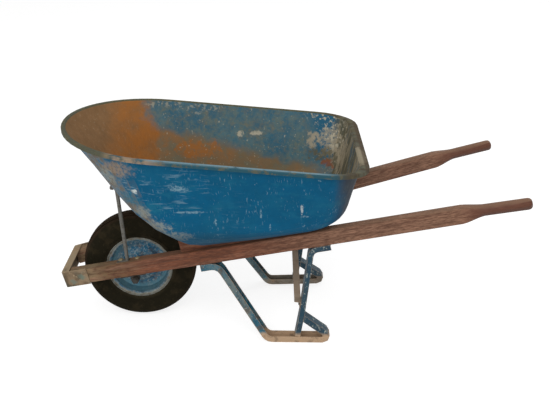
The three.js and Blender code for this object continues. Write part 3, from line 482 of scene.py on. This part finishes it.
def trayFinish():
    look = trayLook
    f = Finish("worn blue tray", look["blue"], 0.45)
    along = mathNode(f.tree, "SUBTRACT", f.axis("X"), axleCentre.x)
    trayOutside(f, look, along)
    centre = addNode(f.tree, "ShaderNodeVectorMath", {
        0: f.vector, 1: place(*look["middle"])}, operation="SUBTRACT")
    facing = addNode(f.tree, "ShaderNodeVectorMath", {
        0: centre.outputs[0], 1: f.geometry.outputs["Normal"]}, operation="DOT_PRODUCT")
    inside = f.between(facing.outputs["Value"], 0.004, -0.004)
    outerColour = f.colour
    outerRough = f.roughness
    f.colour = look["rust"]
    f.roughness = 0.85
    trayInside(f, look, along)
    f.colour = mixColour(f.tree, inside, outerColour, f.colour)
    f.roughness = f.blend(inside, outerRough, f.roughness)
    trayLip(f, look, along, inside)
    f.raiseBy(f.spots(55, 0.6, 0.1), 0.4)
    f.raiseBy(f.both(inside, f.spots(120, 0.5, 0.2)), 0.5)
    return f.done(look["gloss"])


# Steel of the legs and posts

legLook = {
    "paint": colour(38, 90, 108),
    "navy": colour(20, 50, 66),
    "sky": colour(72, 126, 140),
    "chip": colour(176, 182, 172),
    "grey": colour(116, 122, 116),
    "bare": colour(186, 154, 122),
    "dirt": colour(92, 74, 58),
    "gloss": 0.25,
    "uprights": (0.53, 0.55),  # metres behind the axle
    "sole": (0.038, 0.022),  # metres from the ground
}


def legFinish():
    look = legLook
    f = Finish("chipped leg paint", look["paint"], 0.55)
    f.vary(12, 0.16)
    f.layer(f.spots(16, 0.48, 0.12), look["grey"], 0.7)
    f.layer(f.spots(22, 0.53, 0.10, f.stretched((1, 1, 0.3))), look["navy"], 0.55)
    f.layer(f.spots(34, 0.58, 0.06, f.stretched((1, 1, 0.3))), look["sky"], 0.6)
    f.layer(f.spots(35, 0.58, 0.05), look["dirt"], 0.6, 0.75)
    along = mathNode(f.tree, "SUBTRACT", f.axis("X"), axleCentre.x)
    upright = f.between(along, *look["uprights"])
    f.layer(f.both(upright, f.spots(24, 0.33, 0.10, f.stretched((1, 1, 0.25)))), look["navy"], 0.85)
    f.layer(f.both(upright, f.spots(120, 0.62, 0.04, f.stretched((1, 1, 0.35)))), look["chip"], 0.6, 0.6)
    f.layer(f.spots(140, 0.64, 0.04), look["chip"], 0.6, 0.6)
    # the diagonal's rear face is dirty, the soles are bare; the far sole's paler share is partly painted
    # light that lifts it out of the shade under the barrow
    facing = f.facing("X")
    rear = f.both(f.between(facing, 0.35, 0.75), f.outside(upright))
    f.layer(f.both(rear, f.spots(20, 0.34, 0.12)), look["dirt"], 0.85, 0.8)
    sole = f.between(f.wander(f.axis("Z"), 22, 0.03), *look["sole"])
    # painted light on the far sole: half the bare colour lightens it in the barrow's shade, while the near
    # sole's bare colour is wear
    nearSide = f.blend(f.between(f.axis("Y"), 0.0, -0.05), 0.5, 0.92)
    f.layer(f.both(sole, nearSide), look["bare"], 1.0, 0.75)
    f.layer(f.both(sole, f.outside(nearSide), f.spots(28, 0.40, 0.12)), look["grey"], 0.9)
    f.layer(f.both(sole, f.spots(40, 0.57, 0.06)), look["dirt"], 0.5)
    f.layer(f.edges(0.003, 4.0, 45), look["bare"], 0.55, 0.6)
    f.raiseBy(f.spots(70, 0.6, 0.06), 0.5)
    return f.done(look["gloss"], 0.0005)


# Wood of the handles and wedges

handleLine = {
    "start": (0, 111.5, 237.4),  # of the right handle's middle, beside the axle
    "back": 1171.8,  # from there to the grip, in millimetres
    "out": 144,
    "up": 272,
}

woodLook = {
    "brown": colour(123, 73, 50),
    "dark": colour(72, 44, 32),
    "pale": colour(152, 112, 90),
    "grey": colour(146, 116, 92),
    "dirt": colour(102, 88, 62),
    "clay": colour(142, 120, 92),
    "weathered": colour(148, 114, 92),
    "grip": colour(88, 50, 34),
    "gloss": 0.25,
    # places along the handle, in metres from beside the axle
    "weatheredFrom": (0.30, 0.75),
    "dustTo": (0.09, -0.12),
    "clayTo": (-0.09, -0.16),
    "gripFrom": (1.06, 1.16),
    "pitch": math.atan2(handleLine["up"], math.hypot(handleLine["back"], handleLine["out"])),
    "yaw": math.atan2(handleLine["out"], handleLine["back"]),
}


def woodFinish():
    look = woodLook
    f = Finish("weathered handle wood", look["brown"], 0.7)
    # both handles share the grain: the left one is read as the right one
    split = addNode(f.tree, "ShaderNodeSeparateXYZ", {0: f.vector})
    offside = mathNode(f.tree, "ABSOLUTE", split.outputs["Y"])
    folded = addNode(f.tree, "ShaderNodeCombineXYZ", {
        0: split.outputs["X"], 1: offside, 2: split.outputs["Z"]})
    along = f.stretched(
        (1, 1, 1), place(*handleLine["start"]), (0, -look["pitch"], look["yaw"]), "TEXTURE",
        folded.outputs[0])
    position = f.axis("X", along)
    f.layer(f.between(position, *look["weatheredFrom"]), look["weathered"], 0.75, 0.78)
    grain = f.stretched((7, 84, 84), vector=along)
    fine = f.stretched((34, 210, 210), vector=along)
    pores = f.stretched((60, 460, 460), vector=along)
    f.layer(f.spots(1.0, 0.52, 0.14, grain), look["dark"], 0.6)
    f.layer(f.spots(1.0, 0.57, 0.08, f.stretched((5, 120, 120), (3, 0, 0), vector=along)), look["pale"], 0.36)
    f.layer(f.spots(1.0, 0.52, 0.06, fine), look["dark"], 0.5, depth=-0.8)
    f.layer(f.spots(1.0, 0.55, 0.06, pores), look["dark"], 0.5, depth=-0.5)
    top = f.between(f.facing("Z"), 0.75, 0.93)
    f.layer(f.both(top, f.between(f.spots(1.0, 0.45, 0.25, grain), -0.4, 1)), look["grey"], 0.4, 0.8)
    front = f.between(f.wander(position, 10, 0.10), *look["dustTo"])
    f.layer(f.both(front, f.between(f.spots(1.0, 0.45, 0.2, fine), 1.4, 0)), look["dirt"], 0.85, 0.9)
    f.layer(f.both(front, top), look["dirt"], 0.7, 0.9)
    f.layer(f.both(f.between(position, *look["clayTo"]), f.spots(24, 0.36, 0.12)), look["clay"], 0.7, 0.9)
    f.layer(f.both(front, f.spots(1.0, 0.56, 0.05, grain)), look["pale"], 0.55)
    f.layer(f.both(front, f.spots(1.0, 0.55, 0.05, fine)), look["dark"], 0.5)
    grips = f.between(position, *look["gripFrom"])
    f.layer(grips, look["grip"], 0.85, 0.45)
    # painted shade on the grips' undersides and a painted highlight on their tops
    upward = f.facing("Z")
    f.layer(f.both(grips, f.between(upward, 0.1, -0.7)), look["dark"], 0.6)
    f.layer(f.both(grips, f.between(upward, 0.45, 0.85)), look["grey"], 0.4)
    f.layer(f.edges(0.003, 3.0, 40), look["pale"], 0.4)
    f.vary(9, 0.12)
    return f.done(look["gloss"], 0.0008)


# Rubber, rims, bare steel and fasteners

def wheelRadiusOf(f):  # how far a point lies from the axle's middle line
    away = addNode(f.tree, "ShaderNodeVectorMath", {
        0: f.vector, 1: tuple(axleCentre)}, operation="SUBTRACT")
    flat = addNode(f.tree, "ShaderNodeVectorMath", {
        0: away.outputs[0], 1: (1, 0, 1)}, operation="MULTIPLY")
    return addNode(f.tree, "ShaderNodeVectorMath", {0: flat.outputs[0]}, operation="LENGTH").outputs["Value"]


rubberLook = {
    "black": colour(29, 26, 17),
    "dust": colour(52, 44, 30),
    "specks": colour(66, 58, 44),
    "treadDust": colour(64, 46, 34),
    "beadDust": colour(58, 52, 38),
    "gloss": 0.06,
    "tread": (0.180, 0.192),  # metres from the axle
    "bead": (0.128, 0.118),
}


def rubberFinish():
    look = rubberLook
    f = Finish("old rubber", look["black"], 0.92)
    f.vary(14, 0.14)
    f.layer(f.spots(22, 0.56, 0.08), look["dust"], 0.45)
    f.layer(f.spots(120, 0.64, 0.04), look["specks"], 0.3)
    radius = wheelRadiusOf(f)
    f.layer(f.both(f.between(radius, *look["tread"]), f.spots(10, 0.40, 0.15)), look["treadDust"], 0.45)
    f.layer(f.both(f.between(radius, *look["bead"]), f.spots(16, 0.42, 0.15)), look["beadDust"], 0.5)
    return f.done(look["gloss"])


rimLook = {
    "blue": colour(34, 98, 128),
    "haze": colour(88, 118, 140),
    "grey": colour(118, 128, 124),
    "chip": colour(164, 174, 172),
    "rust": colour(112, 92, 80),
    "deep": colour(24, 50, 70),
    # greyer blue for the ring inside the flange, painted shade of the shadowed step
    "groove": colour(60, 84, 92),
    # pale blue for the rim's well, painted light on a band that lies in shade
    "shoulder": colour(100, 146, 160),
    "flange": colour(134, 132, 120),
    "flangeDirt": colour(104, 92, 74),
    "gloss": 0.25,
    # metres from the axle
    "grooveFrom": (0.0945, 0.0965),
    "grooveTo": (0.1025, 0.1000),
    "shoulderFrom": (0.078, 0.090),
    "shoulderTo": (0.0985, 0.1010),
    "flangeFrom": (0.1025, 0.1075),
}


def rimFinish():
    look = rimLook
    f = Finish("worn blue rim", look["blue"], 0.55)
    f.vary(20, 0.14)
    f.layer(f.spots(30, 0.54, 0.08), look["haze"], 0.55, 0.6)
    f.layer(f.spots(22, 0.52, 0.10), look["grey"], 0.5, 0.6)
    f.layer(f.spots(150, 0.56, 0.06), look["chip"], 0.6, 0.6)
    f.layer(f.spots(60, 0.60, 0.04), look["rust"], 0.6, 0.7)
    f.layer(f.spots(34, 0.56, 0.07), look["deep"], 0.7, 0.7)
    radius = wheelRadiusOf(f)
    # painted shade: a greyer ring inside the flange where the step lies in shadow
    groove = f.both(f.between(radius, *look["grooveFrom"]), f.between(radius, *look["grooveTo"]))
    f.layer(groove, look["groove"], 0.4)
    # painted light: a paler band on the rim's well, lifting the shade that the tray and handles cast there
    shoulder = f.both(f.between(radius, *look["shoulderFrom"]),
                      f.outside(f.between(radius, *look["shoulderTo"])))
    f.layer(shoulder, look["shoulder"], 0.6)
    flange = f.between(radius, *look["flangeFrom"])
    f.layer(flange, look["flange"], 0.8, 0.7)
    f.layer(f.both(flange, f.spots(50, 0.54, 0.06)), look["flangeDirt"], 0.7)
    return f.done(look["gloss"])


guardLook = {
    "name": "dusty guard steel",
    "base": colour(130, 110, 86),
    "stain": colour(100, 82, 62),
    "pale": colour(168, 148, 118),
    "dark": colour(84, 90, 82),
    "gloss": 0.25,
    "marks": (  # teal paint left on the near cheek, and its dark worn corners
        ((-192, -90, 200), (22, 30, 12), colour(92, 116, 106), 0.7),
        ((-216, -88, 176), (14, 30, 10), colour(96, 120, 112), 0.5),
        ((-246, -84, 176), (12, 30, 30), colour(72, 66, 50), 0.7),
        ((-214, -88, 158), (40, 30, 7), colour(68, 64, 50), 0.7),
        ((-200, 70, 200), (60, 40, 30), colour(150, 120, 90), 0.5),
    ),
}

braceLook = {
    "name": "dirty brace steel",
    "base": colour(142, 124, 106),
    "stain": colour(116, 96, 78),
    "pale": colour(158, 140, 120),
    "dark": colour(84, 96, 104),
    "gloss": 0.25,
    "marks": (),
}


def bareFinish(look):
    f = Finish(look["name"], look["base"], 0.75)
    f.vary(18, 0.22)
    f.layer(f.spots(30, 0.52, 0.07), look["stain"], 0.85)
    f.layer(f.spots(80, 0.62, 0.04), look["pale"], 0.6)
    f.layer(f.spots(16, 0.60, 0.06), look["dark"], 0.5)
    f.layer(f.edges(0.003, 3.0, 40), look["pale"], 0.45)
    top = f.between(f.facing("Z"), 0.6, 0.9)
    f.layer(f.both(top, f.spots(20, 0.36, 0.14)), look["pale"], 0.7)
    for where, size, tone, share in look["marks"]:
        f.layer(f.patch(where, size, 60, 2.2, 0.35), tone, share)
    f.raiseBy(f.spots(90, 0.55, 0.1), 0.6)
    return f.done(look["gloss"], 0.0005)


fastenerLooks = {  # material's name, colour, how metallic, stain
    "zinc": ("dull zinc", colour(150, 150, 146), 0.5, colour(92, 80, 66)),
    # near-black steel; on the axle, its nut and its bracket this tone is partly painted shade
    "dark": ("dark oily steel", colour(40, 37, 31), 0.3, colour(38, 32, 26)),
    "bright": ("bright nuts", colour(214, 218, 216), 0.2, colour(150, 150, 140)),
    "strut": ("grey strut steel", colour(92, 90, 84), 0.2, colour(66, 58, 46)),
    "tab": ("dusty strut bolts", colour(140, 124, 92), 0.1, colour(104, 88, 62)),
}


def fastenerFinish(name, base, metallic, stain):
    f = Finish(name, base, 0.5, metallic)
    f.vary(40, 0.15)
    f.layer(f.spots(90, 0.56, 0.06), stain, 0.6, 0.8)
    return f.done()


finishes = {
    "tray": trayFinish(),
    "leg": legFinish(),
    "wood": woodFinish(),
    "rubber": rubberFinish(),
    "rim": rimFinish(),
    "guard": bareFinish(guardLook),
    "brace": bareFinish(braceLook),
}
for key, values in fastenerLooks.items():
    finishes[key] = fastenerFinish(*values)

# which finish a solid gets, by the start of its name: the longest start that fits counts
finishOf = {
    "tray": "tray",
    "leg_": "leg",
    "handle_": "wood",
    "wedge_": "wood",
    "tyre": "rubber",
    "inner_tube": "rubber",
    "valve": "rubber",
    "rim_": "rim",
    "cross_brace": "brace",
    "nose_guard": "guard",
    "nose_screw": "guard",
    "tray_strut": "strut",
    "strut_nut": "strut",
    "strut_": "dark",
    # the axle and its bracket: dark steel, darkened further as painted shade
    "axle": "dark",
    "hub": "dark",
    "bearing": "dark",
    "brace_": "dark",
    "tray_bolt": "dark",
    "tray_nut": "zinc",
    "bracket_": "zinc",
    "bracket_bolt": "tab",
    "bracket_nut": "bright",
}


def dress(node):
    name = max((key for key in finishOf if node.name.startswith(key)), key=len)
    node.data.materials.clear()
    node.data.materials.append(finishes[finishOf[name]])


for node in nodes.values():
    dress(node)
print("finishes given")


# Handles: the grips' ends are worn rounder than the solids

handleShape = {
    "end": 1.3045,  # of the grip, in metres from beside the axle
    "radius": 0.0195,
    "round": 0.0145,
    "steps": 6,
    "smooth": 28,  # degrees
}


def selectOnly(piece):
    bpy.ops.object.select_all(action="DESELECT")
    piece.select_set(True)
    bpy.context.view_layer.objects.active = piece


def faceCentre(mesh, face):
    return sum((mesh.vertices[index].co for index in face.vertices), Vector()) / len(face.vertices)


def selectBy(piece, kind, test):  # selects vertices or faces by their place
    bpy.ops.object.mode_set(mode="EDIT")
    bpy.ops.mesh.select_all(action="DESELECT")
    bpy.ops.mesh.select_mode(type=kind)
    bpy.ops.object.mode_set(mode="OBJECT")
    mesh = piece.data
    if kind == "VERT":
        for vertex in mesh.vertices:
            vertex.select = test(vertex.co)
    else:
        for face in mesh.polygons:
            face.select = test(faceCentre(mesh, face))
    bpy.ops.object.mode_set(mode="EDIT")


def makeHandle(word, side):
    shape = handleShape
    piece = bpy.data.objects.new("worn_handle_" + word, nodes["handle_" + word].data.copy())
    scene.collection.objects.link(piece)
    selectOnly(piece)
    direction = Vector((handleLine["back"], handleLine["out"] * side, handleLine["up"])).normalized()
    x, y, z = handleLine["start"]
    tip = Vector(place(x, y * side, z)) + direction * shape["end"]
    bpy.ops.object.mode_set(mode="EDIT")
    bpy.ops.mesh.select_all(action="SELECT")
    bpy.ops.mesh.remove_doubles(threshold=0.00002)
    bpy.ops.mesh.select_all(action="SELECT")
    flat = tip - direction * shape["round"]
    bpy.ops.mesh.bisect(plane_co=flat, plane_no=direction, clear_outer=True, use_fill=True)
    selectBy(piece, "FACE", lambda point: (tip - point).dot(direction) < shape["round"] + 0.0005)
    reach, width = 0.0, shape["radius"]
    for step in range(1, shape["steps"] + 1):  # extruded and drawn in, step by step
        angle = math.radians(90 * step / shape["steps"])
        nextReach = shape["round"] * math.sin(angle)
        nextWidth = shape["radius"] - shape["round"] * (1 - math.cos(angle))
        push = direction * (nextReach - reach)
        bpy.ops.mesh.extrude_region_move(TRANSFORM_OT_translate={"value": tuple(push)})
        share = nextWidth / width
        ring = flat + direction * nextReach
        bpy.ops.transform.resize(value=(share, share, share), center_override=tuple(ring))
        reach, width = nextReach, nextWidth
    bpy.ops.mesh.select_all(action="SELECT")
    bpy.ops.mesh.normals_make_consistent(inside=False)
    bpy.ops.object.mode_set(mode="OBJECT")
    bpy.ops.object.shade_smooth_by_angle(angle=math.radians(shape["smooth"]))
    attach(piece, "frame")
    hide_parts("handle_" + word)
    print("handle made:", word, len(piece.data.polygons), "faces")


# Tyre: a rounded section spun round the axle, with grooves in the tread and a rib on each side

tyreShape = {
    "radius": 0.1950,
    "halfWidth": 0.0472,
    "bead": 0.1034,  # radius of the bead's seat
    "shoulder": 0.037,  # rounding towards the tread
    "shoulderSteps": 10,
    "heel": 0.033,  # rounding towards the bead
    "heelSteps": 8,
    "turns": 96,
    "treadFrom": 0.17,  # radius where the tread begins
    "grooves": ((0.0085, 0.0135), (0.0225, 0.0270)),  # places across the tread, from its middle
    "grooveDepth": 0.0042,
    "sideFrom": 0.03,  # half width where the sides begin
    "rib": (0.121, 0.127),
    "ribHeight": 0.0012,
    "smooth": 32,  # degrees
}


def makeTyre():
    shape = tyreShape
    height = shape["radius"] - shape["bead"]
    centre = (axleCentre.x, 0, axleCentre.z + shape["bead"] + height / 2)
    bpy.ops.object.select_all(action="DESELECT")
    bpy.ops.mesh.primitive_plane_add(size=1, location=centre, rotation=(0, math.radians(90), 0))
    piece = bpy.context.object
    piece.name = "tyre_tread"
    bpy.ops.transform.resize(value=(1, 2 * shape["halfWidth"], height))
    bpy.ops.object.transform_apply(location=True, rotation=True, scale=True)
    middleHeight = centre[2]
    selectBy(piece, "VERT", lambda point: point.z > middleHeight)
    bpy.ops.mesh.bevel(
        offset=shape["shoulder"], offset_type="OFFSET", segments=shape["shoulderSteps"],
        profile=0.5, affect="VERTICES")
    beadHeight = middleHeight - height / 2
    selectBy(piece, "VERT", lambda point: point.z < beadHeight + 0.001)
    bpy.ops.mesh.bevel(
        offset=shape["heel"], offset_type="OFFSET", segments=shape["heelSteps"],
        profile=0.5, affect="VERTICES")
    bpy.ops.mesh.select_all(action="SELECT")
    bpy.ops.mesh.delete(type="ONLY_FACE")
    bpy.ops.mesh.select_all(action="SELECT")
    bpy.ops.mesh.spin(
        steps=shape["turns"], angle=math.radians(360), center=tuple(axleCentre), axis=(0, 1, 0))
    bpy.ops.mesh.select_all(action="SELECT")
    bpy.ops.mesh.remove_doubles(threshold=0.00001)
    bpy.ops.mesh.normals_make_consistent(inside=False)

    def radiusOf(point):
        return math.hypot(point.x - axleCentre.x, point.z - axleCentre.z)

    def inGroove(point):
        across = abs(point.y)
        inside = any(start < across < end for start, end in shape["grooves"])
        return inside and radiusOf(point) > shape["treadFrom"]

    def onRib(point):
        start, end = shape["rib"]
        return start < radiusOf(point) < end and abs(point.y) > shape["sideFrom"]

    selectBy(piece, "FACE", inGroove)
    bpy.ops.mesh.extrude_region_shrink_fatten(TRANSFORM_OT_shrink_fatten={"value": -shape["grooveDepth"]})
    selectBy(piece, "FACE", onRib)
    bpy.ops.mesh.extrude_region_shrink_fatten(TRANSFORM_OT_shrink_fatten={"value": shape["ribHeight"]})
    bpy.ops.mesh.select_all(action="SELECT")
    bpy.ops.mesh.normals_make_consistent(inside=False)
    bpy.ops.object.mode_set(mode="OBJECT")
    bpy.ops.object.shade_smooth_by_angle(angle=math.radians(shape["smooth"]))
    piece.data.materials.append(finishes["rubber"])
    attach(piece, "wheel")
    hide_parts("tyre")
    print("tyre made:", len(piece.data.polygons), "faces, box", [round(side, 4) for side in piece.dimensions])


makeTyre()
makeHandle("left", -1)
makeHandle("right", 1)


# Floor and light

studio = {
    "floor": 30.0,  # metres across
    "floorPaint": (0.9, 0.9, 0.9, 1),
    "floorSeen": (0.42, 0.42, 0.42, 1),  # what the camera sees, with the glow on top
    "glow": 0.76,
    "world": 0.42,
    "key": {"power": 250.0, "place": (-1.2, -4.6, 4.0)},
    "fill": {"power": 80.0, "place": (3.6, 2.0, 4.0)},
    "lampSize": 6.0,
    "lampAim": (0, 0, 0.4),
}


def seenDirectly(tree):  # 1 for what the camera sees, also in metal and through glass
    rays = tree.nodes.new("ShaderNodeLightPath")
    mirrored = mathNode(tree, "MAXIMUM", rays.outputs["Is Glossy Ray"], rays.outputs["Is Transmission Ray"])
    return mathNode(tree, "MAXIMUM", rays.outputs["Is Camera Ray"], mirrored)


bpy.ops.object.select_all(action="DESELECT")
bpy.ops.mesh.primitive_plane_add(size=studio["floor"], location=(0, 0, 0))
floor = bpy.context.object
floor.name = "floor"
floorPaint = bpy.data.materials.new("white floor")
floorPaint.use_nodes = True
floorTree = floorPaint.node_tree
shader = floorTree.nodes["Principled BSDF"]
shader.inputs["Roughness"].default_value = 0.9
shader.inputs["Specular IOR Level"].default_value = 0.1
seen = seenDirectly(floorTree)
tone = mixColour(floorTree, seen, studio["floorPaint"], studio["floorSeen"])
feed(floorTree, shader.inputs["Base Color"], tone)
shader.inputs["Emission Color"].default_value = (1, 1, 1, 1)
feed(floorTree, shader.inputs["Emission Strength"], mathNode(floorTree, "MULTIPLY", seen, studio["glow"]))
floor.data.materials.append(floorPaint)

world = bpy.data.worlds.new("studio")
scene.world = world
world.use_nodes = True
worldTree = world.node_tree
background = worldTree.nodes["Background"]
background.inputs["Color"].default_value = (1, 1, 1, 1)
strength = addNode(worldTree, "ShaderNodeMapRange", {
    "Value": seenDirectly(worldTree), "To Min": studio["world"], "To Max": 1.0})
feed(worldTree, background.inputs["Strength"], strength.outputs[0])


def addLight(name):
    data = bpy.data.lights.new(name, "AREA")
    data.energy = studio[name]["power"]
    data.size = studio["lampSize"]
    light = bpy.data.objects.new(name, data)
    light.location = studio[name]["place"]
    direction = Vector(studio["lampAim"]) - light.location
    light.rotation_euler = direction.to_track_quat("-Z", "Y").to_euler()
    scene.collection.objects.link(light)


addLight("key")
addLight("fill")
print("light set")
